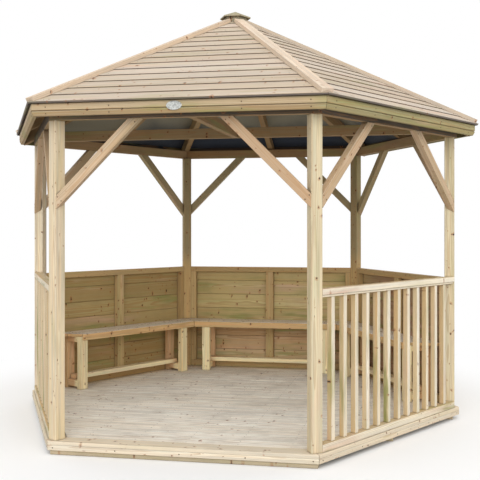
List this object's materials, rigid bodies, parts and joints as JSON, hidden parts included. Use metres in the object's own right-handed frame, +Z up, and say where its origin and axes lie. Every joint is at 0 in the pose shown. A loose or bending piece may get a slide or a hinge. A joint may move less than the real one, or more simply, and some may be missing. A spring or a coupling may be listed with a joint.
{
  "type": "hexagonal garden gazebo",
  "caption": "Open hexagonal timber garden gazebo with a pyramid board roof, balustrades at the front sides, half-height boarded walls and corner benches behind, on a raised deck.",
  "frame": {"origin": "on the ground under the roof's apex, in the plane of the undersides of the ground bearers", "axes": "+Z up; the open entrance faces -Y; +X to the right of someone outside who faces the entrance, through two opposite posts"},
  "size_m": [3.619, 3.1506, 3.0356],
  "materials": {
    "posts": "planed pressure-treated softwood, satin, fine grain with knots",
    "roof_boards": "planed softwood boards, pale, dry",
    "hip_boards": "planed softwood, pale, dry",
    "fascia": "planed treated softwood with a yellow-green cast",
    "deck_boards": "grooved treated softwood, greyed and dry",
    "deck_edge": "planed treated softwood",
    "floor_timbers": "sawn treated softwood",
    "wall_boards": "tongued and grooved treated softwood, knotty",
    "wall_frames": "planed treated softwood",
    "balustrades": "planed treated softwood, square section",
    "benches": "planed treated softwood",
    "roof_timbers": "sawn and planed treated softwood",
    "underlay": "blue-grey roofing membrane, matt"
  },
  "bodies": {
    "root": {"apex_cap": "hip_boards", "balustrade_front_left": "balustrades", "balustrade_front_right": "balustrades", "beam_back": "roof_timbers", "beam_back_left": "roof_timbers", "beam_back_right": "roof_timbers", "beam_front": "roof_timbers", "beam_front_left": "roof_timbers", "beam_front_right": "roof_timbers", "bearers": "floor_timbers", "bench_legs_back": "benches", "bench_legs_back_left": "benches", "bench_legs_back_right": "benches", "bench_seat_back": "benches", "bench_seat_back_left": "benches", "bench_seat_back_right": "benches", "cross_tie": "roof_timbers", "deck_boards": "deck_boards", "deck_edge": "deck_edge", "fascia": "fascia", "floor_joists": "floor_timbers", "floor_rim": "deck_edge", "front_tie": "roof_timbers", "hip_boards": "hip_boards", "hip_rafters": "roof_timbers", "king_block": "roof_timbers", "knee_braces": "roof_timbers", "middle_rafters": "roof_timbers", "post_back_left": "posts", "post_back_right": "posts", "post_front_left": "posts", "post_front_right": "posts", "post_left": "posts", "post_right": "posts", "roof_back": "roof_boards", "roof_back_left": "roof_boards", "roof_back_right": "roof_boards", "roof_front": "roof_boards", "roof_front_left": "roof_boards", "roof_front_right": "roof_boards", "underlay": "underlay", "wall_boards_back": "wall_boards", "wall_boards_back_left": "wall_boards", "wall_boards_back_right": "wall_boards", "wall_frame_back": "wall_frames", "wall_frame_back_left": "wall_frames", "wall_frame_back_right": "wall_frames"}
  },
  "joints": []
}
